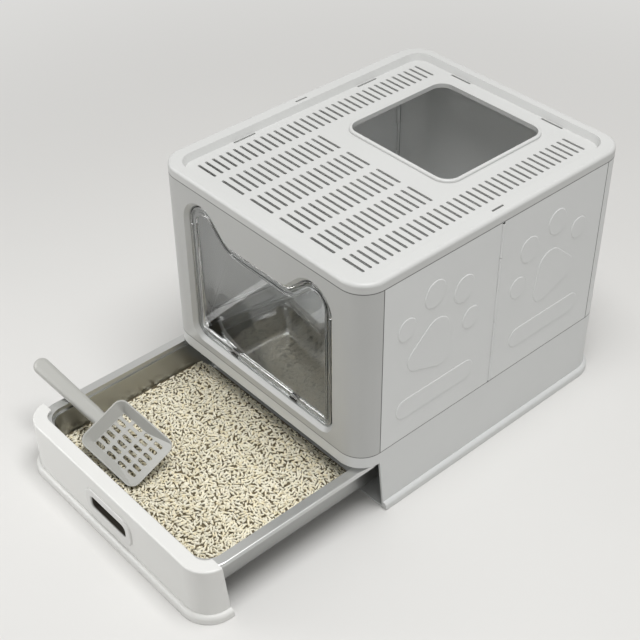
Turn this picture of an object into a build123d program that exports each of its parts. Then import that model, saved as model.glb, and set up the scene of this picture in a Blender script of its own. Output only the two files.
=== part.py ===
"""Drawer litter box: an open-fronted base with a pull-out steel tray, folding walls, a clear cat flap,
a vented cover with a top entry, and a loose scoop.

Millimetres. +X is to the right, -Y is the front, +Z is up. The origin is the centre of the base's
underside. The drawer is modelled pulled out, and the scoop lies on the litter.
"""
import os
from math import atan, cos, degrees, radians, sin, tan

from build123d import *

# ------------------------------------------------------------------ driving sizes
# the box
body_width = 400.0
body_depth = 492.0
body_height = 393.5
corner_radius = 37.0
wall = 3.0
base_height = 111.0
cover_height = 14.3
running_gap = 0.3

# the base
foot_flare = 6.0
foot_height = 12.5
foot_radius = 5.6
base_floor = 3.0
drawer_gap_top = 92.5
jamb_slope = 10.0
rail_width = 9.5
rail_thickness = 4.0

# the drawer
drawer_travel = 260.0
drawer_top = 91.5
drawer_end_gap = 4.0
band_width = 20.0
band_thickness = 3.0
drawer_edge_radius = 2.4
bezel_length = 102.0
bezel_height = 46.0
bezel_proud = 2.4
bezel_corner = 17.0
bezel_level = 47.0
grip_length = 78.0
grip_height = 21.0
grip_corner = 7.0
grip_depth = 16.0
grip_wall = 2.0
clip_spacing = 200.0
clip_length = 26.0

# the steel tray
tray_sheet = 1.0
tray_bottom = 19.0
tray_rim_top = 88.0
tray_side_gap = 3.5
tray_rim_flange = 14.0
tray_curl = 3.0
tray_curl_height = 5.7
tray_shoulder = 2.5
tray_shoulder_drop = 9.0
tray_draft = 7.0
tray_corner = 26.0
tray_bottom_radius = 14.0
tray_front_inset = 7.0
tray_rear_inset = 10.0

# the litter
litter_level = 56.0
litter_edge_level = 44.0
litter_length = 292.0
litter_slope_length = 52.0
litter_crown_margin = 46.0

# the walls
tongue = 2.0
tongue_height = 5.0
seam = 0.5
hinge_foot_margin = 2.0
hinge_head_margin = 3.5
knuckle_count = 5
knuckle_gap = 0.5
corner_barrel = 2.6
corner_axis_inset = 4.4
mid_barrel = 2.3
mid_axis_inset = 0.7
mid_gap = 0.25
barrel_gap = 0.4
pin_radius = 1.2
pin_fit = 0.05
mid_pin_radius = 1.0
web_reach = 6.0
web_in = 1.0
pin_head = 0.8
tongue_root = 4.0

# the raised figures on the side walls
emboss = 0.9
emboss_draft = 52.0
paw_front_y = 126.0
paw_rear_y = 358.0
paw_drop = 1.1
paw_tilt = 20.0
pad_top_rise = 19.0
pad_top_radius = 24.0
pad_side_x = 22.0
pad_side_drop = 14.0
pad_side_radius = 20.0
inner_toe_x = 28.5
inner_toe_rise = 78.0
inner_toe_length = 42.0
inner_toe_width = 36.0
outer_toe_x = 63.0
outer_toe_rise = 32.5
outer_toe_length = 35.0
outer_toe_width = 31.0
bar_front_y = 135.5
bar_rear_y = 352.5
bar_rise = 52.2
bar_length = 145.0
bar_height = 33.0

# the window in the front wall
window_half = 148.0
window_sill_rise = 11.2
window_ear_margin = 17.9
ear_rise = 37.0
ear_radius = 38.0
ear_slope = 45.0
dip_radius = 25.0
sill_radius = 25.0
bevel = 5.5
lip_width = 8.0
frame_depth = 10.0
frame_rise = 7.0

# the flap
flap_gap = 1.5
flap_rim = 13.0
flap_thickness = 5.0
pane_thickness = 1.6
flap_front = 5.5
flap_axis_drop = 9.0
flap_pin_radius = 1.4
flap_pin_depth = 6.0
flap_groove_inset = 4.5
flap_groove_width = 3.5
flap_groove_depth = 1.2
flap_bead_radius = 0.8
magnet_spacing = 125.0
magnet_length = 14.0
magnet_width = 2.4
magnet_height = 4.0
magnet_cover = 0.6

# the cover
rim_width = 20.0
rim_front_width = 15.0
rim_radius = 5.0
panel_drop = 10.4
panel_thickness = 3.0
panel_corner = 26.0
panel_draft = 20.0
vent_width = 4.2
vent_pitch = 12.05
vent_first = 40.0
side_vent_length = 38.0
side_vent_x = 142.5
side_vent_rows = 35
middle_vent_length = 45.0
middle_vent_pitch = 58.2
middle_vent_columns = 4
middle_vent_rows = 15
entry_width = 195.0
entry_depth = 193.0
entry_corner = 21.0
entry_front = 249.5
entry_lip = 4.5
entry_lip_height = 4.0
panel_slot_length = 38.0
panel_slot_width = 3.6
panel_slot_inset = 6.5
panel_slot_x = 87.0
panel_slot_y = 116.0
latch_slot_length = 21.0
latch_slot_width = 3.2
latch_slot_inset = 12.7

# the scoop
scoop_length = 114.0
scoop_width = 83.0
scoop_depth = 17.0
scoop_flat = 62.0
scoop_draft = 36.0
scoop_wall = 2.0
scoop_corner = 14.0
scoop_tip_thickness = 2.0
scoop_columns = 6
scoop_rows = 4
scoop_slot_length = 17.5
scoop_slot_width = 5.2
scoop_end_margin = 11.0
scoop_side_margin = 11.0
handle_length = 136.0
handle_root_width = 21.0
handle_end_radius = 12.0
handle_thickness = 14.5
handle_lift = 4.8
handle_shell = 2.4
handle_edge_radius = 7.5
handle_root_reach = 9.0
scoop_x = -119.6
scoop_y = -187.2
scoop_yaw = 4.6
scoop_pitch = 9.1
scoop_roll = 24.5

# ------------------------------------------------------------------ derived places
front_y = -body_depth / 2
rear_y = body_depth / 2
half_width = body_width / 2
inner_half = half_width - wall
wall_low = base_height + running_gap
cover_low = body_height - cover_height
wall_high = cover_low - running_gap
hinge_low = wall_low + hinge_foot_margin
hinge_high = wall_high - hinge_head_margin
paw_level = (wall_low + wall_high) / 2 - paw_drop
bar_level = wall_low + bar_rise
window_bottom = wall_low + window_sill_rise
window_ear_top = wall_high - window_ear_margin
window_middle_top = window_ear_top - ear_rise
frame_top = window_middle_top + frame_rise
flap_axis_level = window_middle_top - flap_axis_drop
jamb_y = front_y + corner_radius
rear_corner_y = rear_y - corner_radius
mid_y = (jamb_y + rear_corner_y) / 2
drawer_front_y = front_y - drawer_travel
tray_rim_width = 2 * (inner_half - tray_side_gap)
tray_spread = tray_rim_flange + tray_shoulder + tray_draft
tray_bottom_half = tray_rim_width / 2 - tray_spread
tray_low_front = drawer_front_y + tray_front_inset + tray_spread
tray_low_rear = rear_y - drawer_travel - tray_rear_inset - tray_spread
tray_mid_y = (tray_low_front + tray_low_rear) / 2
tray_low_length = tray_low_rear - tray_low_front
tray_shoulder_level = tray_rim_top - tray_shoulder_drop
tray_wall_height = tray_shoulder_level - tray_bottom
tray_taper = degrees(atan(tray_draft / tray_wall_height))
curl_low = tray_rim_top - tray_curl_height
panel_level = body_height - panel_drop
cover_inside = panel_level - panel_thickness
fold_tongue_height = max(cover_inside - running_gap - wall_high, running_gap)
lip_depth = flap_front + flap_thickness / 2


# ------------------------------------------------------------------ shared shapes
def box_plan(grow, mode=Mode.ADD):
    """The box's rounded outline in plan, grown outwards by grow."""
    RectangleRounded(body_width + 2 * grow, body_depth + 2 * grow, corner_radius + grow, mode=mode)


def foot_bead():
    """The rounded bead round the foot of the box."""
    with BuildPart() as bead:
        with BuildSketch(Plane.XY):
            box_plan(foot_flare)
        extrude(amount=foot_height)
        fillet(bead.edges().group_by(Axis.Z)[-1], foot_radius)
    return bead.part


def wall_strip(z_low, z_high, outer, inner, x_range, y_range):
    """An upright strip that follows the box's outline, cut to a range in x and y."""
    with BuildPart() as strip:
        with BuildSketch(Plane.XY.offset(z_low)):
            box_plan(outer)
            box_plan(inner, Mode.SUBTRACT)
            with Locations((sum(x_range) / 2, sum(y_range) / 2)):
                Rectangle(x_range[1] - x_range[0], y_range[1] - y_range[0], mode=Mode.INTERSECT)
        extrude(amount=z_high - z_low)
    return strip.part


def facing_front(y):
    """A plane across the box at y: its x is +X, its y is +Z and it looks to the front."""
    return Plane(origin=(0, y, 0), x_dir=(1, 0, 0), z_dir=(0, -1, 0))


def facing_right(x):
    """A plane along the box at x: its x is +Y, its y is +Z and it looks to the right."""
    return Plane(origin=(x, 0, 0), x_dir=(0, 1, 0), z_dir=(1, 0, 0))


def slab_across(y_low, y_high, sketch):
    """A sketch made on the front plane, extruded from y_low to y_high."""
    with BuildPart() as slab:
        with BuildSketch(facing_front(y_high)):
            add(sketch)
        extrude(amount=y_high - y_low)
    return slab.part


def window_outline(inset):
    """The cat-head outline of the window, drawn inside its outer edge by inset."""
    slope = radians(ear_slope)
    side = window_half - inset
    sill = window_bottom + inset
    top = window_middle_top - inset
    ear_r = ear_radius - inset
    dip_r = dip_radius + inset
    corner_r = sill_radius - inset
    ear_x = window_half - ear_radius
    ear_z = window_ear_top - ear_radius
    normal = Vector(-sin(slope), cos(slope))
    ear_end = Vector(ear_x, ear_z) + normal * ear_r
    dip_z = top + dip_r
    dip_x = ear_end.X + ((dip_z - ear_end.Y) * cos(slope) - dip_r) / sin(slope)
    slope_end = Vector(dip_x, dip_z) - normal * dip_r
    with BuildSketch() as outline:
        with BuildLine():
            Line((0, sill), (side - corner_r, sill))
            CenterArc((side - corner_r, sill + corner_r), corner_r, -90, 90)
            Line((side, sill + corner_r), (side, ear_z))
            CenterArc((ear_x, ear_z), ear_r, 0, 90 + ear_slope)
            Line(ear_end, slope_end)
            CenterArc((dip_x, dip_z), dip_r, ear_slope - 90, -ear_slope)
            Line((dip_x, top), (0, top))
            mirror(about=Plane.YZ)
        make_face()
    return outline.sketch


def knuckle_levels(first):
    """Heights of every second hinge level, counted from first."""
    pitch = (hinge_high - hinge_low) / knuckle_count
    return [hinge_low + pitch * (index + 0.5) for index in range(first, knuckle_count, 2)]


def knuckles(axis_x, axis_y, radius, first, side, web_out):
    """Hinge barrels at every second level, with webs back to the wall that carries them.

    side is -1 or 1: that wall lies towards -Y or +Y. The webs reach web_out past the axis, outwards.
    """
    outward = 1 if axis_x > 0 else -1
    length = (hinge_high - hinge_low) / knuckle_count - knuckle_gap
    web_x = axis_x + outward * (web_out - web_in) / 2
    levels = knuckle_levels(first)
    with BuildPart() as barrels:
        with Locations(*[(axis_x, axis_y, level) for level in levels]):
            Cylinder(radius, length)
        with Locations(*[(web_x, axis_y + side * web_reach / 2, level) for level in levels]):
            Box(web_out + web_in, web_reach, length)
    return barrels.part


def knuckle_room(axis_x, axis_y, radius, first):
    """The room that a neighbour's barrels need, to be cut from a wall."""
    pitch = (hinge_high - hinge_low) / knuckle_count
    with BuildPart() as room:
        with Locations(*[(axis_x, axis_y, level) for level in knuckle_levels(first)]):
            Cylinder(radius + barrel_gap, pitch + knuckle_gap)
    return room.part


def pin_bore(axis_x, axis_y, radius):
    """The bore for a hinge pin, the full height of the hinge, with room for the pin's head on top."""
    with BuildPart() as bore:
        with Locations((axis_x, axis_y, (hinge_low + hinge_high) / 2)):
            Cylinder(radius + pin_fit, hinge_high - hinge_low + 2 * knuckle_gap)
        with Locations((axis_x, axis_y, hinge_high - knuckle_gap / 2)):
            Cylinder(
                radius + pin_head + running_gap,
                pin_head + knuckle_gap / 2 + running_gap,
                align=(Align.CENTER, Align.CENTER, Align.MIN),
            )
    return bore.part


def hinge_pin(axis_x, axis_y, radius):
    """One upright hinge pin with a low head on top."""
    with BuildPart() as pin:
        with Locations((axis_x, axis_y, (hinge_low + hinge_high) / 2)):
            Cylinder(radius, hinge_high - hinge_low)
        with Locations((axis_x, axis_y, hinge_high)):
            Cylinder(radius + pin_head, pin_head, align=(Align.CENTER, Align.CENTER, Align.MIN))
    return pin.part


def wall_tongues(x_range, y_range, reach_up):
    """The lips inside a wall: one reaches down into the base, the other up into the cover by reach_up."""
    low_end = wall_low - tongue_height - running_gap
    high_end = wall_high + reach_up
    root = wall + running_gap + tongue
    with BuildPart() as tongues:
        add(wall_strip(low_end, wall_low, -wall - running_gap, -root, x_range, y_range))
        add(wall_strip(wall_low, wall_low + tongue_root, -wall, -root, x_range, y_range))
        add(wall_strip(wall_high - tongue_root, wall_high, -wall, -root, x_range, y_range))
        add(wall_strip(wall_high, high_end, -wall - running_gap, -root, x_range, y_range))
    return tongues.part


def paw_sketch(centre_y, tilt):
    """A plain paw print: one pad and four toes."""
    with BuildSketch() as print_shape:
        with Locations((0, pad_top_rise)):
            Circle(pad_top_radius)
        with Locations((-pad_side_x, -pad_side_drop), (pad_side_x, -pad_side_drop)):
            Circle(pad_side_radius)
        make_hull()
        for side in (-1, 1):
            with Locations((side * inner_toe_x, inner_toe_rise)):
                SlotOverall(inner_toe_length, inner_toe_width, rotation=90)
            with Locations((side * outer_toe_x, outer_toe_rise)):
                SlotOverall(outer_toe_length, outer_toe_width, rotation=90)
    return Pos(centre_y, paw_level) * (Rot(0, 0, tilt) * print_shape.sketch)


# ------------------------------------------------------------------ base
with BuildPart() as base:
    with BuildSketch(Plane.XY):
        box_plan(0)
    extrude(amount=base_height)
    add(foot_bead())
    with BuildSketch(Plane.XY.offset(base_floor)):
        box_plan(-wall)
    extrude(amount=base_height - base_floor, mode=Mode.SUBTRACT)
    # the drawer's opening, whose jambs slope back towards the floor
    with BuildSketch(facing_right(half_width + 2 * foot_flare)):
        with BuildLine():
            Polyline(
                (front_y - 2 * foot_flare, -foot_flare),
                (jamb_y + jamb_slope, -foot_flare),
                (jamb_y, drawer_gap_top),
                (front_y - 2 * foot_flare, drawer_gap_top),
                close=True,
            )
        make_face()
    extrude(amount=-(body_width + 4 * foot_flare), mode=Mode.SUBTRACT)
base.part.label = "base"

# ------------------------------------------------------------------ drawer rails
rail_top = curl_low - running_gap
rail_front = jamb_y + jamb_slope
rail_rear = rear_corner_y
with BuildPart() as right_rail:
    with Locations((inner_half, (rail_front + rail_rear) / 2, rail_top)):
        Box(rail_width, rail_rear - rail_front, rail_thickness, align=(Align.MAX, Align.CENTER, Align.MAX))
    rail_ends = right_rail.edges().filter_by(Axis.Z).sort_by(Axis.X)[:2]
    fillet(rail_ends, rail_thickness)
right_rail.part.label = "right_drawer_rail"
with BuildPart() as left_rail:
    add(mirror(right_rail.part, about=Plane.YZ))
left_rail.part.label = "left_drawer_rail"

# ------------------------------------------------------------------ drawer front
shelf_top = curl_low
shelf_depth = tray_front_inset + tray_rim_flange - running_gap
shelf_half = half_width - corner_radius - wall
with BuildPart() as drawer_front:
    with BuildSketch(Plane.XY):
        box_plan(0)
    extrude(amount=drawer_top)
    drawer_crown = drawer_front.edges().group_by(Axis.Z)[-1]
    fillet(drawer_crown, drawer_edge_radius)
    add(foot_bead())
    # hollow under the band, then open behind it
    with BuildSketch(Plane.XY):
        box_plan(-wall)
    extrude(amount=drawer_top - band_thickness, mode=Mode.SUBTRACT)
    with BuildSketch(Plane.XY):
        box_plan(-band_width)
    extrude(amount=drawer_top, mode=Mode.SUBTRACT)
    # the ends are cut to the slope of the base's jambs
    with BuildSketch(facing_right(half_width + 2 * foot_flare)):
        with BuildLine():
            Polyline(
                (jamb_y - drawer_end_gap + jamb_slope, -foot_flare),
                (jamb_y - drawer_end_gap, drawer_top + foot_flare),
                (rear_y + 2 * foot_flare, drawer_top + foot_flare),
                (rear_y + 2 * foot_flare, -foot_flare),
                close=True,
            )
        make_face()
    extrude(amount=-(body_width + 4 * foot_flare), mode=Mode.SUBTRACT)
    # the shelf under the tray's front rim
    with Locations((0, front_y + wall, shelf_top)):
        Box(2 * shelf_half, shelf_depth - wall, wall, align=(Align.CENTER, Align.MIN, Align.MAX))
    # the hole for the grip
    with BuildSketch(facing_front(front_y)):
        with Locations((0, bezel_level)):
            RectangleRounded(grip_length + 2 * grip_wall, grip_height + 2 * grip_wall, grip_corner + grip_wall)
    extrude(amount=-2 * wall, mode=Mode.SUBTRACT)
drawer_front_closed = drawer_front.part
with BuildPart() as drawer_front:
    add(drawer_front_closed.moved(Location((0, -drawer_travel, 0))))
drawer_front.part.label = "drawer_front"

# ------------------------------------------------------------------ grip insert
with BuildPart() as grip:
    with BuildSketch(facing_front(drawer_front_y)):
        with Locations((0, bezel_level)):
            RectangleRounded(bezel_length, bezel_height, bezel_corner)
    extrude(amount=bezel_proud)
    fillet(grip.faces().sort_by(Axis.Y)[0].edges(), bezel_proud * 0.9)
    # the sleeve through the drawer front, open at both ends
    with BuildSketch(facing_front(drawer_front_y)):
        with Locations((0, bezel_level)):
            RectangleRounded(grip_length + 2 * grip_wall, grip_height + 2 * grip_wall, grip_corner + grip_wall)
    extrude(amount=-grip_depth)
    with BuildSketch(facing_front(drawer_front_y - bezel_proud)):
        with Locations((0, bezel_level)):
            RectangleRounded(grip_length, grip_height, grip_corner)
    extrude(amount=-(bezel_proud + grip_depth), mode=Mode.SUBTRACT)
    mouth = grip.faces().sort_by(Axis.Y)[0].inner_wires().edges()
    fillet(mouth, bezel_proud * 0.9)
grip.part.label = "drawer_grip"

# ------------------------------------------------------------------ steel tray
def tray_bowl(inset):
    """The tray's bowl as a solid, inside its outer face by inset: tapered walls under a stepped shoulder."""
    with BuildPart() as bowl:
        with BuildSketch(Plane((0, tray_mid_y, tray_bottom + inset))):
            RectangleRounded(
                2 * (tray_bottom_half - inset),
                tray_low_length - 2 * inset,
                tray_corner - tray_shoulder - tray_draft - inset,
            )
        extrude(amount=tray_wall_height, taper=-tray_taper)
        fillet(bowl.faces().sort_by(Axis.Z)[0].edges(), tray_bottom_radius - inset)
        with BuildSketch(Plane((0, tray_mid_y, tray_shoulder_level + inset))):
            RectangleRounded(
                2 * (tray_bottom_half + tray_draft + tray_shoulder - inset),
                tray_low_length + 2 * (tray_draft + tray_shoulder - inset),
                tray_corner - inset,
            )
        extrude(amount=tray_shoulder_drop)
    return bowl.part


with BuildPart() as tray:
    add(tray_bowl(0))
    with BuildSketch(Plane((0, tray_mid_y, tray_rim_top))):
        RectangleRounded(
            tray_rim_width,
            tray_low_length + 2 * tray_spread,
            tray_corner + tray_rim_flange,
        )
    extrude(amount=-tray_curl_height)
    fillet(tray.faces().sort_by(Axis.Z)[-1].edges(), tray_curl * 0.8)
    # the space under the flange, inside the rolled edge
    with BuildSketch(Plane((0, tray_mid_y, curl_low))):
        RectangleRounded(
            tray_rim_width - 2 * tray_curl,
            tray_low_length + 2 * (tray_spread - tray_curl),
            tray_corner + tray_rim_flange - tray_curl,
        )
        RectangleRounded(
            tray_rim_width - 2 * tray_rim_flange,
            tray_low_length + 2 * (tray_spread - tray_rim_flange),
            tray_corner,
            mode=Mode.SUBTRACT,
        )
    extrude(amount=tray_curl_height - tray_sheet, mode=Mode.SUBTRACT)
    add(tray_bowl(tray_sheet), mode=Mode.SUBTRACT)
tray.part.label = "steel_tray"

# ------------------------------------------------------------------ litter
litter_rear = tray_low_front + litter_length
with BuildPart() as litter:
    add(tray_bowl(tray_sheet + running_gap))
    with BuildSketch(facing_right(0)):
        with BuildLine():
            Polyline(
                (drawer_front_y, 0),
                (litter_rear, 0),
                (litter_rear - litter_slope_length, litter_level),
                (drawer_front_y, litter_level),
                close=True,
            )
        make_face()
    extrude(amount=half_width, both=True, mode=Mode.INTERSECT)
    with BuildSketch(facing_front(0)):
        with BuildLine():
            Polyline(
                (-half_width, 0),
                (-half_width, litter_edge_level),
                (-tray_bottom_half, litter_edge_level),
                (-tray_bottom_half + litter_crown_margin, litter_level),
                (half_width, litter_level),
                (half_width, 0),
                close=True,
            )
        make_face()
    extrude(amount=body_depth * 2, both=True, mode=Mode.INTERSECT)
litter.part.label = "litter_bed"


# ------------------------------------------------------------------ front wall
corner_axis_x = half_width - corner_axis_inset
mid_axis_x = half_width - mid_axis_inset
corner_web = corner_axis_inset - wall / 2
mid_web = mid_axis_inset / 2
whole_width = (-half_width, half_width)
right_half = (0, half_width)
flap_axis_y = front_y + lip_depth
opening_half = window_half - bevel
flap_half = opening_half - flap_gap
pin_end = opening_half + lip_width - flap_gap
with BuildPart() as front_wall:
    add(wall_strip(wall_low, wall_high, 0, -wall, whole_width, (front_y, jamb_y - seam / 2)))
    add(wall_tongues(whole_width, (front_y, jamb_y - tongue), tongue_height))
    add(slab_across(front_y + wall / 2, front_y + lip_depth, window_outline(bevel - lip_width)))
    add(slab_across(front_y - wall, front_y + lip_depth + wall, window_outline(bevel)), mode=Mode.SUBTRACT)
    with BuildSketch(facing_front(front_y)):
        add(window_outline(0))
    extrude(amount=-bevel, taper=45, mode=Mode.SUBTRACT)
    for axis_x in (corner_axis_x, -corner_axis_x):
        add(knuckles(axis_x, jamb_y, corner_barrel, 0, -1, corner_web))
        add(knuckle_room(axis_x, jamb_y, corner_barrel, 1), mode=Mode.SUBTRACT)
        add(pin_bore(axis_x, jamb_y, pin_radius), mode=Mode.SUBTRACT)
    # half-round grooves for the flap's pins; the window frame closes them
    with Locations(Location((0, flap_axis_y, flap_axis_level), (0, 90, 0))):
        Cylinder(flap_pin_radius + pin_fit, 2 * (pin_end + running_gap), mode=Mode.SUBTRACT)
front_wall.part.label = "front_wall"

# ------------------------------------------------------------------ side walls
with BuildPart() as right_front_wall:
    add(wall_strip(
        wall_low, wall_high, 0, -wall, right_half,
        (jamb_y + seam / 2, mid_y - mid_barrel - mid_gap),
    ))
    add(wall_tongues(right_half, (jamb_y + web_reach, mid_y - web_reach), fold_tongue_height))
    with BuildSketch(facing_right(half_width)):
        add(paw_sketch(front_y + paw_front_y, -paw_tilt))
        with Locations((front_y + bar_front_y, bar_level)):
            SlotOverall(bar_length, bar_height)
    extrude(amount=emboss, taper=emboss_draft)
    add(knuckles(corner_axis_x, jamb_y, corner_barrel, 1, 1, corner_web))
    add(knuckle_room(corner_axis_x, jamb_y, corner_barrel, 0), mode=Mode.SUBTRACT)
    add(pin_bore(corner_axis_x, jamb_y, pin_radius), mode=Mode.SUBTRACT)
    add(knuckles(mid_axis_x, mid_y, mid_barrel, 0, -1, mid_web))
    add(pin_bore(mid_axis_x, mid_y, mid_pin_radius), mode=Mode.SUBTRACT)
right_front_wall.part.label = "right_front_wall"

with BuildPart() as right_rear_wall:
    add(wall_strip(
        wall_low, wall_high, 0, -wall, right_half,
        (mid_y + mid_barrel + mid_gap, rear_corner_y - seam / 2),
    ))
    add(wall_tongues(right_half, (mid_y + web_reach, rear_corner_y - web_reach), fold_tongue_height))
    with BuildSketch(facing_right(half_width)):
        add(paw_sketch(front_y + paw_rear_y, paw_tilt))
        with Locations((front_y + bar_rear_y, bar_level)):
            SlotOverall(bar_length, bar_height)
    extrude(amount=emboss, taper=emboss_draft)
    add(knuckles(corner_axis_x, rear_corner_y, corner_barrel, 1, -1, corner_web))
    add(knuckle_room(corner_axis_x, rear_corner_y, corner_barrel, 0), mode=Mode.SUBTRACT)
    add(pin_bore(corner_axis_x, rear_corner_y, pin_radius), mode=Mode.SUBTRACT)
    add(knuckles(mid_axis_x, mid_y, mid_barrel, 1, 1, mid_web))
    add(pin_bore(mid_axis_x, mid_y, mid_pin_radius), mode=Mode.SUBTRACT)
right_rear_wall.part.label = "right_rear_wall"

with BuildPart() as left_front_wall:
    add(mirror(right_front_wall.part, about=Plane.YZ))
left_front_wall.part.label = "left_front_wall"

with BuildPart() as left_rear_wall:
    add(mirror(right_rear_wall.part, about=Plane.YZ))
left_rear_wall.part.label = "left_rear_wall"

# ------------------------------------------------------------------ back wall
with BuildPart() as back_wall:
    add(wall_strip(wall_low, wall_high, 0, -wall, whole_width, (rear_corner_y + seam / 2, rear_y)))
    add(wall_tongues(whole_width, (rear_corner_y + tongue, rear_y), fold_tongue_height))
    for axis_x in (corner_axis_x, -corner_axis_x):
        add(knuckles(axis_x, rear_corner_y, corner_barrel, 0, 1, corner_web))
        add(knuckle_room(axis_x, rear_corner_y, corner_barrel, 1), mode=Mode.SUBTRACT)
        add(pin_bore(axis_x, rear_corner_y, pin_radius), mode=Mode.SUBTRACT)
back_wall.part.label = "back_wall"

# ------------------------------------------------------------------ hinge pins
hinge_pins = {}
for name, axis_x, axis_y, radius in (
    ("right_front_pin", corner_axis_x, jamb_y, pin_radius),
    ("left_front_pin", -corner_axis_x, jamb_y, pin_radius),
    ("right_middle_pin", mid_axis_x, mid_y, mid_pin_radius),
    ("left_middle_pin", -mid_axis_x, mid_y, mid_pin_radius),
    ("right_rear_pin", corner_axis_x, rear_corner_y, pin_radius),
    ("left_rear_pin", -corner_axis_x, rear_corner_y, pin_radius),
):
    hinge_pins[name] = hinge_pin(axis_x, axis_y, radius)
    hinge_pins[name].label = name

# ------------------------------------------------------------------ window frame
sill_level = window_bottom + bevel
magnet_sides = (-magnet_spacing / 2, magnet_spacing / 2)
sill_magnet_places = [(x, flap_axis_y + magnet_cover + magnet_width / 2, sill_level) for x in magnet_sides]
with BuildPart() as window_frame:
    with BuildSketch() as frame_shape:
        add(window_outline(bevel - lip_width))
        add(window_outline(bevel), mode=Mode.SUBTRACT)
        with Locations((0, frame_top)):
            Rectangle(body_width, body_height, align=(Align.CENTER, Align.MAX), mode=Mode.INTERSECT)
        with Locations((0, window_bottom + sill_radius)):
            Rectangle(2 * opening_half - wall, body_height, align=(Align.CENTER, Align.MIN), mode=Mode.SUBTRACT)
    add(slab_across(front_y + lip_depth, front_y + lip_depth + frame_depth, frame_shape.sketch))
    with Locations(Location((0, flap_axis_y, flap_axis_level), (0, 90, 0))):
        Cylinder(flap_pin_radius + pin_fit, 2 * (pin_end + running_gap), mode=Mode.SUBTRACT)
    with Locations(*sill_magnet_places):
        Box(magnet_length, magnet_width, magnet_height,
            align=(Align.CENTER, Align.CENTER, Align.MAX), mode=Mode.SUBTRACT)
window_frame.part.label = "window_frame"

with BuildPart() as sill_magnets:
    with Locations(*sill_magnet_places):
        Box(magnet_length, magnet_width, magnet_height, align=(Align.CENTER, Align.CENTER, Align.MAX))
sill_magnets.part.label = "sill_magnets"

# ------------------------------------------------------------------ flap
flap_edge = bevel + flap_gap
flap_face = front_y + flap_front
flap_back = flap_face + flap_thickness
pane_step = (flap_thickness - pane_thickness) / 2
flap_low = window_bottom + flap_edge
with BuildPart() as flap:
    add(slab_across(flap_face, flap_back, window_outline(flap_edge)))
    fillet(flap.faces().sort_by(Axis.Y)[0].edges(), pane_step)
    fillet(flap.faces().sort_by(Axis.Y)[-1].edges(), pane_step)
    add(slab_across(flap_face - wall, flap_face + pane_step, window_outline(flap_edge + flap_rim)),
        mode=Mode.SUBTRACT)
    add(slab_across(flap_back - pane_step, flap_back + wall, window_outline(flap_edge + flap_rim)),
        mode=Mode.SUBTRACT)
    rim_inner_edges = flap.faces().sort_by(Axis.Y)[0].inner_wires().edges()
    fillet(rim_inner_edges, flap_bead_radius)
    with BuildSketch() as groove:
        add(window_outline(flap_edge + flap_groove_inset))
        add(window_outline(flap_edge + flap_groove_inset + flap_groove_width), mode=Mode.SUBTRACT)
    add(slab_across(flap_face - wall, flap_face + flap_groove_depth, groove.sketch), mode=Mode.SUBTRACT)
    for side in (-1, 1):
        with Locations(Location((side * (flap_half - flap_pin_depth), flap_axis_y, flap_axis_level),
                                (0, side * 90, 0))):
            Cylinder(flap_pin_radius, 2 * flap_pin_depth,
                     align=(Align.CENTER, Align.CENTER, Align.MIN), mode=Mode.SUBTRACT)
    with Locations(*[(x, flap_axis_y, flap_low) for x in magnet_sides]):
        Box(magnet_length, magnet_width, magnet_height,
            align=(Align.CENTER, Align.CENTER, Align.MIN), mode=Mode.SUBTRACT)
flap.part.label = "door_flap"

with BuildPart() as flap_pins:
    for side in (-1, 1):
        with Locations(Location((side * (flap_half - flap_pin_depth), flap_axis_y, flap_axis_level),
                                (0, side * 90, 0))):
            Cylinder(flap_pin_radius, pin_end - flap_half + flap_pin_depth,
                     align=(Align.CENTER, Align.CENTER, Align.MIN))
flap_pins.part.label = "flap_pins"

with BuildPart() as flap_magnets:
    with Locations(*[(x, flap_axis_y, flap_low) for x in magnet_sides]):
        Box(magnet_length, magnet_width, magnet_height, align=(Align.CENTER, Align.CENTER, Align.MIN))
flap_magnets.part.label = "flap_magnets"


# ------------------------------------------------------------------ tray clips
clip_height = drawer_top - band_thickness - shelf_top
with BuildPart() as tray_clips:
    with Locations(*[(side * clip_spacing / 2, drawer_front_y + wall, shelf_top) for side in (-1, 1)]):
        Box(clip_length, tray_front_inset - wall, clip_height, align=(Align.CENTER, Align.MIN, Align.MIN))
    fillet(tray_clips.edges().filter_by(Axis.Z), 1.0)
tray_clips.part.label = "tray_clips"

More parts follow.
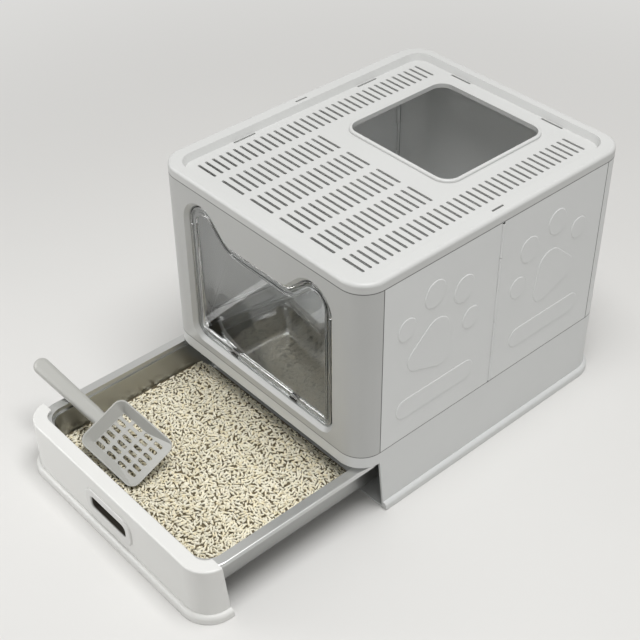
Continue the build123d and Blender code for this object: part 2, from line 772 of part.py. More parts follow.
# ------------------------------------------------------------------ cover
panel_front = front_y + rim_front_width
panel_rear = rear_y - rim_front_width
panel_half = half_width - rim_width
panel_mid_y = (panel_front + panel_rear) / 2
entry_y = front_y + entry_front + entry_depth / 2
rim_shoulder = body_height - rim_radius
lip_top = panel_level + entry_lip_height
with BuildPart() as cover:
    with BuildSketch(Plane.XY.offset(cover_low)):
        box_plan(0)
    extrude(amount=cover_height)
    fillet(cover.faces().sort_by(Axis.Z)[-1].edges(), rim_radius)
    # the sunk panel, its sides sloping in
    with BuildSketch(Plane((0, panel_mid_y, body_height))):
        RectangleRounded(2 * panel_half, panel_rear - panel_front, panel_corner)
    extrude(amount=-panel_drop, taper=panel_draft, mode=Mode.SUBTRACT)
    # the inside
    with BuildSketch(Plane.XY.offset(cover_low)):
        box_plan(-wall)
    extrude(amount=cover_inside - cover_low, mode=Mode.SUBTRACT)
    # the hollow of the rim, narrower under its rounded edge
    for low, high, inset in (
        (cover_inside, rim_shoulder, wall),
        (rim_shoulder, body_height - wall, wall + rim_radius / 2),
    ):
        with BuildSketch(Plane.XY.offset(low)):
            box_plan(-inset)
            with Locations((0, panel_mid_y)):
                RectangleRounded(
                    2 * panel_half + wall,
                    panel_rear - panel_front + wall,
                    panel_corner,
                    mode=Mode.SUBTRACT,
                )
        extrude(amount=high - low, mode=Mode.SUBTRACT)
    # the raised lip and the opening of the top entry
    with BuildSketch(Plane((0, entry_y, panel_level - running_gap))):
        RectangleRounded(entry_width + 2 * entry_lip, entry_depth + 2 * entry_lip, entry_corner + entry_lip)
    extrude(amount=entry_lip_height + running_gap)
    lip_crown = cover.faces().filter_by_position(Axis.Z, lip_top - running_gap, lip_top + running_gap)
    fillet(lip_crown.edges(), entry_lip / 2)
    with BuildSketch(Plane((0, entry_y, cover_inside))):
        RectangleRounded(entry_width, entry_depth, entry_corner)
    extrude(amount=cover_height, mode=Mode.SUBTRACT)
    # vents
    with BuildSketch(Plane.XY.offset(cover_inside)):
        for side in (-1, 1):
            first_y = front_y + vent_first
            with Locations(*[(side * side_vent_x, first_y + vent_pitch * row) for row in range(side_vent_rows)]):
                SlotOverall(side_vent_length, vent_width)
        middle_y = front_y + vent_first + vent_pitch * (middle_vent_rows - 1) / 2
        with Locations((0, middle_y)):
            with GridLocations(middle_vent_pitch, vent_pitch, middle_vent_columns, middle_vent_rows):
                SlotOverall(middle_vent_length, vent_width)
    extrude(amount=panel_thickness + running_gap, mode=Mode.SUBTRACT)
    # slots in the panel, beside its sides and its rear
    with BuildSketch(Plane.XY.offset(cover_inside)):
        for side in (-1, 1):
            with Locations(*[(side * (panel_half - panel_slot_inset), end * panel_slot_y) for end in (-1, 1)]):
                Rectangle(panel_slot_width, panel_slot_length)
            with Locations((side * panel_slot_x, panel_rear - panel_slot_inset)):
                Rectangle(panel_slot_length, panel_slot_width)
    extrude(amount=panel_thickness + running_gap, mode=Mode.SUBTRACT)
    # a slot in each side of the rim, over the walls' middle hinges
    with BuildSketch(Plane.XY.offset(body_height)):
        with Locations(*[(side * (half_width - latch_slot_inset), mid_y) for side in (-1, 1)]):
            Rectangle(latch_slot_width, latch_slot_length)
    extrude(amount=-(wall + running_gap), mode=Mode.SUBTRACT)
cover.part.label = "top_cover"

# ------------------------------------------------------------------ scoop
scoop_turn = (scoop_yaw, scoop_pitch, scoop_roll)
level_plane = Plane(Location((0, 0, 0), scoop_turn, Intrinsic.ZYX))
scoop_run = scoop_depth * tan(radians(scoop_draft))
lowest_edge = level_plane.from_local_coords((scoop_flat, scoop_run - scoop_width / 2, -scoop_depth))
scoop_z = litter_level + running_gap - lowest_edge.Z
scoop_plane = Plane(Location((scoop_x, front_y + scoop_y, scoop_z), scoop_turn, Intrinsic.ZYX))
head_side = Plane(origin=scoop_plane.origin, x_dir=scoop_plane.x_dir, z_dir=-scoop_plane.y_dir)
lift = radians(handle_lift)
handle_out = scoop_plane.z_dir * sin(lift) - scoop_plane.x_dir * cos(lift)
handle_up = scoop_plane.z_dir * cos(lift) + scoop_plane.x_dir * sin(lift)
handle_plane = Plane(origin=scoop_plane.origin, x_dir=handle_out, z_dir=handle_up)
slot_pitch_x = (scoop_length - 2 * scoop_end_margin) / scoop_rows
slot_pitch_y = (scoop_width - 2 * scoop_side_margin) / scoop_columns


def scoop_head(inset, tip):
    """The head as a solid inside its outer face by inset: drafted walls, and a floor that rises to the tip."""
    with BuildPart() as solid:
        with BuildSketch(scoop_plane):
            with Locations(((scoop_length + inset) / 2, 0)):
                RectangleRounded(scoop_length - inset, scoop_width - 2 * inset, scoop_corner - inset)
        extrude(amount=inset - scoop_depth, taper=scoop_draft)
        with BuildSketch(head_side):
            with BuildLine():
                Polyline(
                    (inset, scoop_wall),
                    (inset, inset - scoop_depth),
                    (scoop_flat, inset - scoop_depth),
                    (scoop_length, -tip),
                    (scoop_length, scoop_wall),
                    close=True,
                )
            make_face()
        extrude(amount=scoop_width, both=True, mode=Mode.INTERSECT)
    return solid.part


def handle_plan(shrink, root):
    """The handle's outline from its root to its round end, inside its edge by shrink."""
    with BuildSketch() as plan:
        with Locations((root, 0)):
            Rectangle(scoop_wall, handle_root_width - 2 * shrink)
        with Locations((handle_length - handle_end_radius, 0)):
            Circle(handle_end_radius - shrink)
        make_hull()
    return plan.sketch


with BuildPart() as handle:
    with BuildSketch(handle_plane):
        add(handle_plan(0, -handle_root_reach))
    extrude(amount=-handle_thickness)
    crown = handle.faces().sort_by(Axis(handle_plane.origin, handle_up))[-1]
    crown_edges = crown.edges().sort_by(Axis(handle_plane.origin, handle_out))[1:]
    fillet(crown_edges, handle_edge_radius)
    with BuildSketch(handle_plane.offset(-handle_shell)):
        add(handle_plan(handle_shell, handle_shell))
    extrude(amount=-handle_thickness, mode=Mode.SUBTRACT)

with BuildPart() as scoop:
    add(scoop_head(0, scoop_tip_thickness))
    add(handle.part)
    add(scoop_head(scoop_wall, 0), mode=Mode.SUBTRACT)
    with BuildSketch(scoop_plane):
        with Locations((scoop_length / 2, 0)):
            with GridLocations(slot_pitch_x, slot_pitch_y, scoop_rows, scoop_columns):
                SlotOverall(scoop_slot_length, scoop_slot_width)
    extrude(amount=-2 * scoop_depth, mode=Mode.SUBTRACT)
scoop.part.label = "scoop"

# ------------------------------------------------------------------ files
os.makedirs("parts", exist_ok=True)
for node in (
    base, right_rail, left_rail,
    drawer_front, grip, tray, tray_clips, litter, scoop,
    front_wall, right_front_wall, right_rear_wall, left_front_wall, left_rear_wall, back_wall,
    window_frame, sill_magnets, flap, flap_pins, flap_magnets,
    cover,
):
    export_step(node.part, f"parts/{node.part.label}.step")
for name, pin in hinge_pins.items():
    export_step(pin, f"parts/{name}.step")
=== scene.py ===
"""The looks of the drawer litter box: moulded plastic, a drawn steel tray, a clear flap and loose pellets.

Everything is in metres, in the part's own frame: +X to the right, -Y to the front, +Z up, with the
origin under the middle of the base. The drawer stands open and the scoop lies on the litter.
"""

from math import cos, hypot, pi, radians, sin
from random import Random

import bpy
from mathutils import Matrix, Vector


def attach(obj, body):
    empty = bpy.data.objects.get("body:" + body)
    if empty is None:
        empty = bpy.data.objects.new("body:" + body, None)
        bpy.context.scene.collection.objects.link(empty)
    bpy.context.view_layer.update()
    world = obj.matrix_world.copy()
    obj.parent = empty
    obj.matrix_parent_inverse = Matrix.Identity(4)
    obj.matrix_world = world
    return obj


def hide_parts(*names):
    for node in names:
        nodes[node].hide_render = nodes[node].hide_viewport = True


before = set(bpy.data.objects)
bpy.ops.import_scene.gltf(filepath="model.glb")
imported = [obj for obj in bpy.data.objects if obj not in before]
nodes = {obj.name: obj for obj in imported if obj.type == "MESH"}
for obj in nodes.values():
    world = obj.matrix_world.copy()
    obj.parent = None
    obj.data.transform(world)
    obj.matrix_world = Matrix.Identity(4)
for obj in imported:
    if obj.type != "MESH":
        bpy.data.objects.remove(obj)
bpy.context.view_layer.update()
bpy.ops.object.select_all(action="DESELECT")

# ------------------------------------------------------------------ the photograph's camera
PHOTO_SIZE = 640  # in pixels, as the focal length is
FOCAL_LENGTH = 1290.16
SENSOR_WIDTH = 36.0  # in millimetres
CAMERA_PLACE = Vector((1.04799, -1.06101, 1.30435))
CAMERA_AZIMUTH = radians(48.514)
CAMERA_ELEVATION = radians(38.935)
CAMERA_ROLL = radians(-0.589)
NEAREST_SEEN = 0.05
FARTHEST_SEEN = 60.0

# ------------------------------------------------------------------ colours
COVER_WHITE = (0.585, 0.59, 0.58)
# Painted shade: the front wall and window frame are the walls' plastic made darker, for the shade on the
# box's front.
SHADED_FRONT_WHITE = (0.50, 0.505, 0.495)
WALL_WHITE = (0.70, 0.71, 0.705)
BASE_WHITE = (0.67, 0.68, 0.675)
DRAWER_WHITE = (0.77, 0.77, 0.75)
# Painted shade: the dark colour inside the grip's finger slot stands for the shadow there.
SLOT_PAINTED_SHADE = (0.085, 0.075, 0.06)
SCOOP_PLASTIC = (0.44, 0.44, 0.415)
CLEAR_PLASTIC = (0.965, 0.975, 0.975)
RIM_STEEL = (0.61, 0.615, 0.605)
# Painted shade: the tray's bowl is the rim's steel made darker, for the shade inside the tray.
SHADED_BOWL_STEEL = (0.47, 0.475, 0.465)
PIN_STEEL = (0.74, 0.74, 0.73)
PIN_TARNISH = (0.60, 0.60, 0.60)
NICKEL = (0.90, 0.90, 0.89)
NICKEL_HAZE = (0.80, 0.80, 0.79)
PELLET_LIGHT = (1.0, 0.96, 0.81)
PELLET_DARK = (0.97, 0.88, 0.64)
# Painted shade: the litter under the top pellets is dark for the shade in the gaps between pellets.
BED_SHADE = (0.15, 0.122, 0.07)
PALE_FLOOR = (0.72, 0.715, 0.70)
PALE_SURROUND = PALE_FLOOR
FILL_LIGHT = (1.0, 0.99, 0.97)
FILL_STRENGTH = 0.40

PLASTIC_IOR = 1.49

# ------------------------------------------------------------------ the box's seams
# Painted shade: thin dark lines along these seams stand for the shadow in the gaps between the parts.
COVER_SEAM = 0.379
BASE_SEAM = 0.1112
CORNER_SEAM = 0.209
WALL_SEAMS = (("Y", CORNER_SEAM), ("Z", COVER_SEAM), ("Z", BASE_SEAM))
SEAM_CORE = 0.0004
SEAM_REACH = 0.0010
SEAM_DARKNESS = 0.30

# ------------------------------------------------------------------ the grip's slot
# Where the painted shade inside the grip's finger slot lies.
SLOT_HALF_LENGTH = 0.0385
SLOT_HALF_HEIGHT = 0.0100
SLOT_END_ROUNDING = 0.0015
SLOT_EDGE_ROUNDING = 0.0012
SLOT_LEVEL = 0.047
SLOT_MOUTH = -0.5068
SLOT_MOUTH_DEPTH = 0.0016

# ------------------------------------------------------------------ the tray and the litter's surface
TRAY_SHOULDER = 0.0800
BOWL_HALF_WIDTH = 0.170
BOWL_FRONT = -0.4755
BOWL_FLOOR = 0.020
BOWL_CORNER = 0.019
BOWL_DRAFT = 0.117  # the walls lean out by this much per metre of height
BOWL_ROUNDING_TOP = 0.035
BOWL_ROUNDING_LEAN = 0.35
BOWL_MARGIN = 0.0015
LITTER_TOP = 0.0560
LITTER_LEFT_EDGE = 0.0440
LITTER_LEFT_SLOPE = 0.046
LITTER_REAR = -0.1835
LITTER_REAR_SLOPE = 0.052
LITTER_MOUND_SHARE = 0.885

# ------------------------------------------------------------------ the pellets
PELLET_SIDES = 7
PELLET_RADIUS = 0.00140
PELLET_LENGTH = 0.0095
PELLET_SHORTEST = 0.62
PELLET_LONGEST = 1.25
PELLET_END_ROUNDING = 0.45
PELLET_TIP = 0.12
PELLET_SINK = (-0.0004, 0.0008)
PELLET_PITCH = 0.00275
PELLET_BEADS = (-1, -0.33, 0.33, 1)
PELLET_LAYERS = ((0.0, 0.50), (0.0018, 0.26), (0.0032, 0.14))  # depth, and tries per square millimetre
PELLET_STRIPS = (
    ("front_pellets", -0.480, -0.400),
    ("middle_pellets", -0.400, -0.315),
    ("rear_pellets", -0.315, -0.200),
)
STRIP_SIDE_MARGIN = 0.004
SQUARE_MM_PER_SQUARE_METRE = 1e6

# ------------------------------------------------------------------ the flap's rounded edges
FLAP_ROUNDING = 0.0020
FLAP_ROUNDING_STEPS = 4
FLAP_SHARP_EDGE = radians(40)

# ------------------------------------------------------------------ the stage
FLOOR_SIZE = 40
FLOOR_DROP = 0.0005
FLOOR_FADE_START = 0.55
FLOOR_FADE_END = 1.7


# ------------------------------------------------------------------ material helpers
def new_material(name):
    """A new material, its node tree and its Principled shader."""
    material = bpy.data.materials.new(name)
    material.use_nodes = True
    tree = material.node_tree
    return material, tree, tree.nodes["Principled BSDF"]


def add(tree, kind, **values):
    """A node of this kind, with its properties and inputs set by name."""
    node = tree.nodes.new(kind)
    for name, value in values.items():
        if hasattr(node, name):
            setattr(node, name, value)
        else:
            node.inputs[name.replace("_", " ")].default_value = value
    return node


def reckon(tree, operation, *values):
    """The result of a piece of arithmetic on one or two values: numbers, or the outputs of nodes."""
    node = add(tree, "ShaderNodeMath", operation=operation)
    for socket, value in zip(node.inputs, values):
        if isinstance(value, float):
            socket.default_value = value
        else:
            tree.links.new(value, socket)
    return node.outputs[0]


def to_range(tree, source, low, high, source_low=0.0, source_high=1.0):
    """A value that goes from low to high while its source goes from source_low to source_high."""
    node = add(
        tree, "ShaderNodeMapRange", From_Min=source_low, From_Max=source_high, To_Min=low, To_Max=high,
    )
    tree.links.new(source, node.inputs["Value"])
    return node.outputs["Result"]


def object_noise(tree, scale, detail, stretch=(1, 1, 1)):
    """Noise over the piece's own coordinates, stretched along its axes."""
    coordinates = add(tree, "ShaderNodeTexCoord")
    mapping = add(tree, "ShaderNodeMapping", Scale=stretch)
    noise = add(tree, "ShaderNodeTexNoise", Scale=scale, Detail=detail)
    tree.links.new(coordinates.outputs["Object"], mapping.inputs["Vector"])
    tree.links.new(mapping.outputs["Vector"], noise.inputs["Vector"])
    return noise.outputs["Fac"]


def place_on_part(tree):
    """The X, Y and Z of the place that is shaded, in the part's frame."""
    coordinates = add(tree, "ShaderNodeTexCoord")
    split = add(tree, "ShaderNodeSeparateXYZ")
    tree.links.new(coordinates.outputs["Object"], split.inputs["Vector"])
    return split.outputs


def shade(colour, factor):
    """The colour, darker or lighter by a factor."""
    return tuple(c * factor for c in colour)


def ramp(tree, source, dark, light, low=0.3, high=0.7):
    """A colour that goes from dark to light while a value goes from low to high."""
    node = add(tree, "ShaderNodeValToRGB")
    for element, position, colour in zip(node.color_ramp.elements, (low, high), (dark, light)):
        element.position = position
        element.color = (*colour, 1)
    tree.links.new(source, node.inputs["Fac"])
    return node.outputs["Color"]


def blend(tree, share, under, over):
    """The output under, turning into the colour over where share is 1."""
    mix = add(tree, "ShaderNodeMix", data_type="RGBA")
    tree.links.new(share, mix.inputs["Factor"])
    tree.links.new(under, mix.inputs["A"])
    mix.inputs["B"].default_value = (*over, 1)
    return mix.outputs["Result"]


def relief(tree, shader, height, strength, distance):
    """A fine relief on the shader's surface, and the bump node that makes it."""
    bump = add(tree, "ShaderNodeBump", Strength=strength, Distance=distance)
    tree.links.new(height, bump.inputs["Height"])
    tree.links.new(bump.outputs["Normal"], shader.inputs["Normal"])
    return bump


def seam_shadow(tree, axis, place):
    """1 away from a seam, and dark inside it: painted shade for the shadow in the gap between parts. A seam
    lies at plus and at minus place on its axis.
    """
    off = reckon(tree, "SUBTRACT", reckon(tree, "ABSOLUTE", place_on_part(tree)[axis]), place)
    far = reckon(tree, "ABSOLUTE", off)
    return to_range(tree, far, SEAM_DARKNESS, 1.0, SEAM_CORE, SEAM_REACH)


# ------------------------------------------------------------------ the materials
def moulded_plastic(name, colour, roughness, seams=()):
    """Satin moulded plastic: a faint cloudiness, a fine grain, softened edges and painted shade along its
    seams.
    """
    material, tree, shader = new_material(name)
    cloud = object_noise(tree, scale=9.0, detail=2.0)
    tint = ramp(tree, cloud, shade(colour, 0.975), colour)
    for axis, place in seams:
        dim = add(tree, "ShaderNodeVectorMath", operation="SCALE")
        tree.links.new(tint, dim.inputs[0])
        tree.links.new(seam_shadow(tree, axis, place), dim.inputs["Scale"])
        tint = dim.outputs["Vector"]
    tree.links.new(tint, shader.inputs["Base Color"])
    tree.links.new(to_range(tree, cloud, roughness - 0.04, roughness + 0.04), shader.inputs["Roughness"])
    grain = object_noise(tree, scale=900.0, detail=2.0)
    bump = relief(tree, shader, grain, strength=0.04, distance=0.0004)
    edge = add(tree, "ShaderNodeBevel", samples=4, Radius=0.0006)
    tree.links.new(edge.outputs["Normal"], bump.inputs["Normal"])
    shader.inputs["IOR"].default_value = PLASTIC_IOR
    return material


def grip_plastic(name, colour, slot_shade):
    """The grip's moulding: the drawer's plastic outside, and painted shade inside its finger slot, a dark
    colour that stands for the shadow in the slot.
    """
    material = moulded_plastic(name, colour, roughness=0.40)
    tree = material.node_tree
    shader = tree.nodes["Principled BSDF"]
    outside = shader.inputs["Base Color"].links[0].from_socket
    place = place_on_part(tree)
    along = reckon(tree, "ABSOLUTE", place["X"])
    up = reckon(tree, "ABSOLUTE", reckon(tree, "SUBTRACT", place["Z"], SLOT_LEVEL))
    between_ends = reckon(tree, "LESS_THAN", along, SLOT_HALF_LENGTH + SLOT_END_ROUNDING)
    between_edges = reckon(tree, "LESS_THAN", up, SLOT_HALF_HEIGHT + SLOT_EDGE_ROUNDING)
    behind = to_range(tree, place["Y"], 0.0, 1.0, SLOT_MOUTH, SLOT_MOUTH + SLOT_MOUTH_DEPTH)
    inside = reckon(tree, "MULTIPLY", reckon(tree, "MULTIPLY", between_ends, between_edges), behind)
    # Painted shade: the slot's inside takes the dark colour of the shadow in it.
    tree.links.new(blend(tree, inside, outside, slot_shade), shader.inputs["Base Color"])
    return material


def drawn_steel(name, bowl, rim):
    """Satin stainless steel, drawn, brushed finely and smeared: a brighter rim over a darker bowl, whose
    darkness is painted shade for the shadow inside the tray.
    """
    material, tree, shader = new_material(name)
    shader.inputs["Metallic"].default_value = 1.0
    smear = object_noise(tree, scale=11.0, detail=2.0)
    shaded_bowl = ramp(tree, smear, shade(bowl, 0.94), bowl)
    # Painted shade: below the shoulder the steel is darker than the rim.
    above = to_range(
        tree, place_on_part(tree)["Z"], 0.0, 1.0, TRAY_SHOULDER - 0.003, TRAY_SHOULDER + 0.004,
    )
    tree.links.new(blend(tree, above, shaded_bowl, rim), shader.inputs["Base Color"])
    tree.links.new(to_range(tree, smear, 0.26, 0.32), shader.inputs["Roughness"])
    brushing = object_noise(tree, scale=260.0, detail=3.0, stretch=(1.0, 0.03, 1.0))
    relief(tree, shader, brushing, strength=0.02, distance=0.0002)
    return material


def clear_plastic(name):
    """Clear moulded acrylic, seen through, with bright reflections and a faint grey tint."""
    material, tree, shader = new_material(name)
    shader.inputs["Base Color"].default_value = (*CLEAR_PLASTIC, 1)
    shader.inputs["Roughness"].default_value = 0.03
    shader.inputs["IOR"].default_value = PLASTIC_IOR
    shader.inputs["Transmission Weight"].default_value = 1.0
    scuff = object_noise(tree, scale=30.0, detail=2.0)
    relief(tree, shader, scuff, strength=0.03, distance=0.0006)
    return material


def bright_metal(name, tarnish, clean, fineness, smoothest, roughest):
    """Bright metal with a faint, uneven tarnish."""
    material, tree, shader = new_material(name)
    shader.inputs["Metallic"].default_value = 1.0
    wear = object_noise(tree, scale=fineness, detail=2.0)
    tree.links.new(ramp(tree, wear, tarnish, clean), shader.inputs["Base Color"])
    tree.links.new(to_range(tree, wear, smoothest, roughest), shader.inputs["Roughness"])
    return material


def pellet_stuff(name, dark, light):
    """Pressed plant pellets: cream, mottled from one to the next, with a rough skin."""
    material, tree, shader = new_material(name)
    patch = object_noise(tree, scale=160.0, detail=3.0)
    tree.links.new(ramp(tree, patch, dark, light, low=0.32, high=0.55), shader.inputs["Base Color"])
    shader.inputs["Roughness"].default_value = 0.85
    skin = object_noise(tree, scale=1500.0, detail=2.0)
    relief(tree, shader, skin, strength=0.3, distance=0.0004)
    return material


def paint(material, *names):
    """Gives CAD nodes a material."""
    for name in names:
        slots = nodes[name].material_slots
        for slot in slots:
            slot.material = material
        if not slots:
            nodes[name].data.materials.append(material)


# ------------------------------------------------------------------ the CAD nodes' materials
walls_white = moulded_plastic("walls_moulding", WALL_WHITE, roughness=0.42, seams=WALL_SEAMS)
# Painted shade: the front moulding is a darker, shaded copy of the walls' plastic.
shaded_front_white = moulded_plastic("front_moulding_shaded", SHADED_FRONT_WHITE, roughness=0.36, seams=WALL_SEAMS)
cover_white = moulded_plastic("cover_moulding", COVER_WHITE, roughness=0.42, seams=(("Z", COVER_SEAM),))
base_white = moulded_plastic("base_moulding", BASE_WHITE, roughness=0.42, seams=(("Z", BASE_SEAM),))
drawer_white = moulded_plastic("drawer_moulding", DRAWER_WHITE, roughness=0.42)
grip_white = grip_plastic("grip_moulding", shade(DRAWER_WHITE, 0.93), SLOT_PAINTED_SHADE)
scoop_grey = moulded_plastic("scoop_moulding", SCOOP_PLASTIC, roughness=0.38)
pin_steel = bright_metal(
    "plated_steel", PIN_TARNISH, PIN_STEEL, fineness=220.0, smoothest=0.15, roughest=0.30,
)
nickel = bright_metal("nickel_plate", NICKEL_HAZE, NICKEL, fineness=400.0, smoothest=0.22, roughest=0.30)

paint(shaded_front_white, "front_wall", "window_frame")
paint(walls_white, "back_wall", "right_front_wall", "right_rear_wall", "left_front_wall", "left_rear_wall")
paint(cover_white, "top_cover")
paint(base_white, "base", "right_drawer_rail", "left_drawer_rail")
paint(drawer_white, "drawer_front", "tray_clips")
paint(grip_white, "drawer_grip")
paint(scoop_grey, "scoop")
paint(drawn_steel("drawn_steel", SHADED_BOWL_STEEL, RIM_STEEL), "steel_tray")
paint(nickel, "flap_magnets", "sill_magnets")
paint(
    pin_steel,
    "flap_pins", "right_front_pin", "left_front_pin",
    "right_middle_pin", "left_middle_pin", "right_rear_pin", "left_rear_pin",
)


# ------------------------------------------------------------------ the flap
def merged_copy(node, name):
    """A copy of a CAD node with its doubled corners merged and its flat faces whole."""
    piece = nodes[node].copy()
    piece.data = piece.data.copy()
    piece.name = name
    piece.data.materials.clear()
    bpy.context.scene.collection.objects.link(piece)
    bpy.context.view_layer.objects.active = piece
    piece.select_set(True)
    bpy.ops.object.mode_set(mode="EDIT")
    bpy.ops.mesh.select_all(action="SELECT")
    bpy.ops.mesh.remove_doubles(threshold=0.00001)
    bpy.ops.mesh.dissolve_limited(angle_limit=radians(0.5))
    bpy.ops.object.mode_set(mode="OBJECT")
    piece.select_set(False)
    return piece


def clear_flap():
    """The clear flap, its rim's sharp edges rounded as polished acrylic is."""
    piece = merged_copy("door_flap", "clear_flap")
    bpy.context.view_layer.objects.active = piece
    piece.select_set(True)
    bpy.ops.object.shade_smooth()
    rounding = piece.modifiers.new("rounding", "BEVEL")
    rounding.width = FLAP_ROUNDING
    rounding.segments = FLAP_ROUNDING_STEPS
    rounding.limit_method = "ANGLE"
    rounding.angle_limit = FLAP_SHARP_EDGE
    rounding.harden_normals = True
    bpy.ops.object.modifier_apply(modifier=rounding.name)
    piece.select_set(False)
    piece.data.materials.append(clear_plastic("clear_moulding"))
    return piece


flap = clear_flap()
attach(flap, "door")
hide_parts("door_flap")


# ------------------------------------------------------------------ the litter
def litter_height(x, y):
    """The height of the litter's surface: level, but falling to the left wall and to the rear."""
    rise = (LITTER_TOP - LITTER_LEFT_EDGE) * (x + BOWL_HALF_WIDTH) / LITTER_LEFT_SLOPE
    left = LITTER_LEFT_EDGE + rise
    rear = LITTER_TOP * (LITTER_REAR - y) / LITTER_REAR_SLOPE
    return min(LITTER_TOP, max(left, LITTER_LEFT_EDGE), rear)


def in_bowl(point):
    """Whether a pellet's end is inside the tray's bowl, with its leaning walls and rounded corners."""
    spread = BOWL_DRAFT * (point.z - BOWL_FLOOR) - PELLET_RADIUS
    if point.z < BOWL_ROUNDING_TOP:
        spread -= BOWL_ROUNDING_LEAN * (BOWL_ROUNDING_TOP - point.z)
    side = BOWL_HALF_WIDTH - BOWL_MARGIN + spread - abs(point.x)
    front = point.y - (BOWL_FRONT + BOWL_MARGIN - spread)
    if min(side, front) < 0 or point.z < BOWL_FLOOR + PELLET_RADIUS:
        return False
    if side < BOWL_CORNER and front < BOWL_CORNER:
        return hypot(BOWL_CORNER - side, BOWL_CORNER - front) < BOWL_CORNER
    return True


def litter_mound():
    """The litter under its top pellets: the CAD bed, lowered, and painted dark as painted shade for the gaps
    between pellets.
    """
    bed = merged_copy("litter_bed", "litter_mound")
    low = min(v.co.z for v in bed.data.vertices)
    for vertex in bed.data.vertices:
        vertex.co.z = low + (vertex.co.z - low) * LITTER_MOUND_SHARE
    bed.data.materials.append(pellet_stuff("litter_gap_shade", shade(BED_SHADE, 0.6), BED_SHADE))
    return bed


def one_pellet():
    """A short pressed rod with rounded ends, lying along Z."""
    bpy.ops.mesh.primitive_cylinder_add(vertices=PELLET_SIDES, radius=PELLET_RADIUS, depth=PELLET_LENGTH)
    rod = bpy.context.active_object
    bpy.ops.object.mode_set(mode="EDIT")
    bpy.ops.mesh.select_all(action="DESELECT")
    bpy.ops.object.mode_set(mode="OBJECT")
    for face in rod.data.polygons:
        face.select = abs(face.normal.z) > 0.9
    bpy.ops.object.mode_set(mode="EDIT")
    bpy.ops.mesh.bevel(offset=PELLET_RADIUS * PELLET_END_ROUNDING, segments=1, affect="EDGES")
    bpy.ops.object.mode_set(mode="OBJECT")
    bpy.ops.object.shade_smooth()
    rod.select_set(False)
    return rod


def lying_pellet(x, y, depth, chance):
    """The middle, the direction and the length of a pellet that lies at a place on the litter."""
    step = 0.002
    slope_x = (litter_height(x + step, y) - litter_height(x - step, y)) / (2 * step)
    slope_y = (litter_height(x, y + step) - litter_height(x, y - step)) / (2 * step)
    turn = chance.uniform(0, 2 * pi)
    length = PELLET_LENGTH * chance.uniform(PELLET_SHORTEST, PELLET_LONGEST)
    tip = chance.gauss(0, PELLET_TIP)
    run = Vector((cos(turn), sin(turn), slope_x * cos(turn) + slope_y * sin(turn) + tip)).normalized()
    sink = PELLET_RADIUS + length / 2 * abs(tip) + depth + chance.uniform(*PELLET_SINK)
    return Vector((x, y, litter_height(x, y) - sink)), run, length


def claimed(beads, taken):
    """Claims the places of a pellet's beads, unless one is too near a bead that lies there already."""
    cells = [(round(b.x / PELLET_PITCH), round(b.y / PELLET_PITCH)) for b in beads]
    near = [
        other for column, row in cells for i in (-1, 0, 1) for j in (-1, 0, 1)
        for other in taken.get((column + i, row + j), ())
    ]
    if any(hypot(b.x - other.x, b.y - other.y) < PELLET_PITCH for b in beads for other in near):
        return False
    for bead, cell in zip(beads, cells):
        taken.setdefault(cell, []).append(bead)
    return True


def strewn(rod, front, rear, chance):
    """Copies of a pellet between two places along Y, lying every way in layers, side by side in each."""
    copies = []
    for depth, tries_per_square_mm in PELLET_LAYERS:
        taken = {}
        area = (rear - front) * 2 * BOWL_HALF_WIDTH * SQUARE_MM_PER_SQUARE_METRE
        for _ in range(round(tries_per_square_mm * area)):
            x = chance.uniform(-BOWL_HALF_WIDTH - STRIP_SIDE_MARGIN, BOWL_HALF_WIDTH + STRIP_SIDE_MARGIN)
            y = chance.uniform(front, rear)
            middle, run, length = lying_pellet(x, y, depth, chance)
            if not (in_bowl(middle + run * (length / 2)) and in_bowl(middle - run * (length / 2))):
                continue
            beads = [middle + run * (length / 2 - PELLET_RADIUS) * share for share in PELLET_BEADS]
            if not claimed(beads, taken):
                continue
            copy = rod.copy()
            copy.matrix_world = (
                Matrix.Translation(middle)
                @ run.to_track_quat("Z", "Y").to_matrix().to_4x4()
                @ Matrix.Diagonal((1, 1, length / PELLET_LENGTH, 1))
            )
            bpy.context.scene.collection.objects.link(copy)
            copies.append(copy)
    return copies


def joined(copies, name):
    """The copies as one piece with its own mesh, its place in the mesh."""
    copies[0].data = copies[0].data.copy()
    for copy in copies:
        copy.select_set(True)
    bpy.context.view_layer.objects.active = copies[0]
    bpy.ops.object.join()
    piece = bpy.context.active_object
    piece.name = name
    bpy.ops.object.transform_apply(location=True, rotation=True, scale=True)
    piece.select_set(False)
    return piece


chance = Random(7)
rod = one_pellet()
pressed = pellet_stuff("pressed_pellets", PELLET_DARK, PELLET_LIGHT)
litter_pieces = [litter_mound()]
for name, front, rear in PELLET_STRIPS:
    piece = joined(strewn(rod, front, rear, chance), name)
    piece.data.materials.append(pressed)
    litter_pieces.append(piece)
bpy.data.objects.remove(rod)
for piece in litter_pieces:
    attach(piece, "drawer")
    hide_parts("litter_bed")


# ------------------------------------------------------------------ the stage
def seen_rays(tree):
    """1 for rays that show the surround: from the camera, in reflections and through clear plastic."""
    path = add(tree, "ShaderNodeLightPath").outputs
    through = reckon(tree, "MAXIMUM", path["Is Camera Ray"], path["Is Transmission Ray"])
    return reckon(tree, "MAXIMUM", through, path["Is Glossy Ray"])


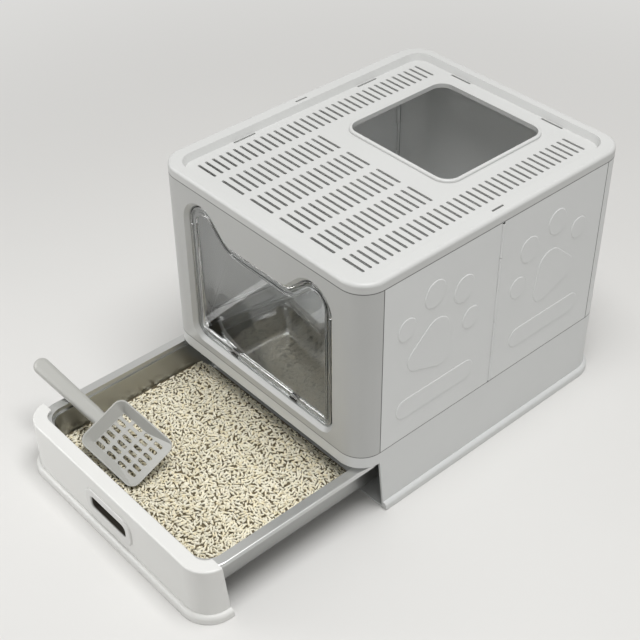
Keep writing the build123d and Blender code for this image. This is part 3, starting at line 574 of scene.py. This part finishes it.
def pale_floor():
    """A large pale floor that keeps its shadows near the box and fades into the surround further out."""
    bpy.ops.mesh.primitive_plane_add(size=FLOOR_SIZE, location=(0, 0, -FLOOR_DROP))
    floor = bpy.context.active_object
    floor.name = "floor"
    material, tree, shader = new_material("pale_floor")
    speck = object_noise(tree, scale=2.0, detail=3.0)
    tree.links.new(ramp(tree, speck, shade(PALE_FLOOR, 0.985), PALE_FLOOR), shader.inputs["Base Color"])
    shader.inputs["Roughness"].default_value = 0.8
    coordinates = add(tree, "ShaderNodeTexCoord")
    reach = add(tree, "ShaderNodeVectorMath", operation="LENGTH")
    tree.links.new(coordinates.outputs["Object"], reach.inputs[0])
    fade = add(
        tree, "ShaderNodeMapRange", interpolation_type="SMOOTHSTEP",
        From_Min=FLOOR_FADE_START, From_Max=FLOOR_FADE_END,
    )
    tree.links.new(reach.outputs["Value"], fade.inputs["Value"])
    far = add(tree, "ShaderNodeEmission", Color=(*PALE_SURROUND, 1))
    mix = add(tree, "ShaderNodeMixShader")
    tree.links.new(reckon(tree, "MULTIPLY", fade.outputs["Result"], seen_rays(tree)), mix.inputs["Fac"])
    tree.links.new(shader.outputs["BSDF"], mix.inputs[1])
    tree.links.new(far.outputs["Emission"], mix.inputs[2])
    tree.links.new(mix.outputs["Shader"], tree.nodes["Material Output"].inputs["Surface"])
    floor.data.materials.append(material)
    return floor


def pale_world():
    """A soft fill light from all around, and an even pale surround where the world itself is seen."""
    world = bpy.data.worlds.new("studio")
    bpy.context.scene.world = world
    world.use_nodes = True
    tree = world.node_tree
    fill = tree.nodes["Background"]
    fill.inputs["Color"].default_value = (*FILL_LIGHT, 1)
    fill.inputs["Strength"].default_value = FILL_STRENGTH
    shown = add(tree, "ShaderNodeBackground", Color=(*PALE_SURROUND, 1), Strength=1.0)
    mix = add(tree, "ShaderNodeMixShader")
    tree.links.new(seen_rays(tree), mix.inputs["Fac"])
    tree.links.new(fill.outputs[0], mix.inputs[1])
    tree.links.new(shown.outputs[0], mix.inputs[2])
    tree.links.new(mix.outputs[0], tree.nodes["World Output"].inputs["Surface"])


def lamp(name, place, aim, size, watts, only_reflected=False):
    """A square soft box at place, turned to aim. One that is only reflected adds highlights and no light."""
    data = bpy.data.lights.new(name, "AREA")
    data.shape = "SQUARE"
    data.size = size
    data.energy = watts
    holder = bpy.data.objects.new(name, data)
    bpy.context.scene.collection.objects.link(holder)
    holder.location = place
    holder.rotation_euler = (Vector(aim) - Vector(place)).to_track_quat("-Z", "Y").to_euler()
    if only_reflected:
        holder.visible_diffuse = False
        holder.visible_camera = False


def photo_camera():
    """The camera, where the photograph was taken from."""
    data = bpy.data.cameras.new("camera")
    data.sensor_width = SENSOR_WIDTH
    data.lens = FOCAL_LENGTH / PHOTO_SIZE * SENSOR_WIDTH
    data.clip_start = NEAREST_SEEN
    data.clip_end = FARTHEST_SEEN
    camera = bpy.data.objects.new("camera", data)
    bpy.context.scene.collection.objects.link(camera)
    back = Vector((
        sin(CAMERA_AZIMUTH) * cos(CAMERA_ELEVATION),
        -cos(CAMERA_AZIMUTH) * cos(CAMERA_ELEVATION),
        sin(CAMERA_ELEVATION),
    ))
    level = Vector((cos(CAMERA_AZIMUTH), sin(CAMERA_AZIMUTH), 0))
    upright = back.cross(level)
    right = level * cos(CAMERA_ROLL) + upright * sin(CAMERA_ROLL)
    up = upright * cos(CAMERA_ROLL) - level * sin(CAMERA_ROLL)
    turned = Matrix((right, up, back)).transposed().to_4x4()
    camera.matrix_world = Matrix.Translation(CAMERA_PLACE) @ turned
    bpy.context.scene.camera = camera


pale_floor()
pale_world()
lamp("overhead", place=(0.50, -0.25, 2.5), aim=(0, -0.1, 0.2), size=1.1, watts=46)
lamp("left_window", place=(-0.75, -1.25, 0.35), aim=(0, -0.5, 0.08), size=0.4, watts=3.2)
lamp("reflector", place=(-1.9, -2.0, 1.7), aim=(0, -0.24, 0.25), size=1.6, watts=34, only_reflected=True)
photo_camera()
bpy.context.scene.view_settings.view_transform = "Standard"
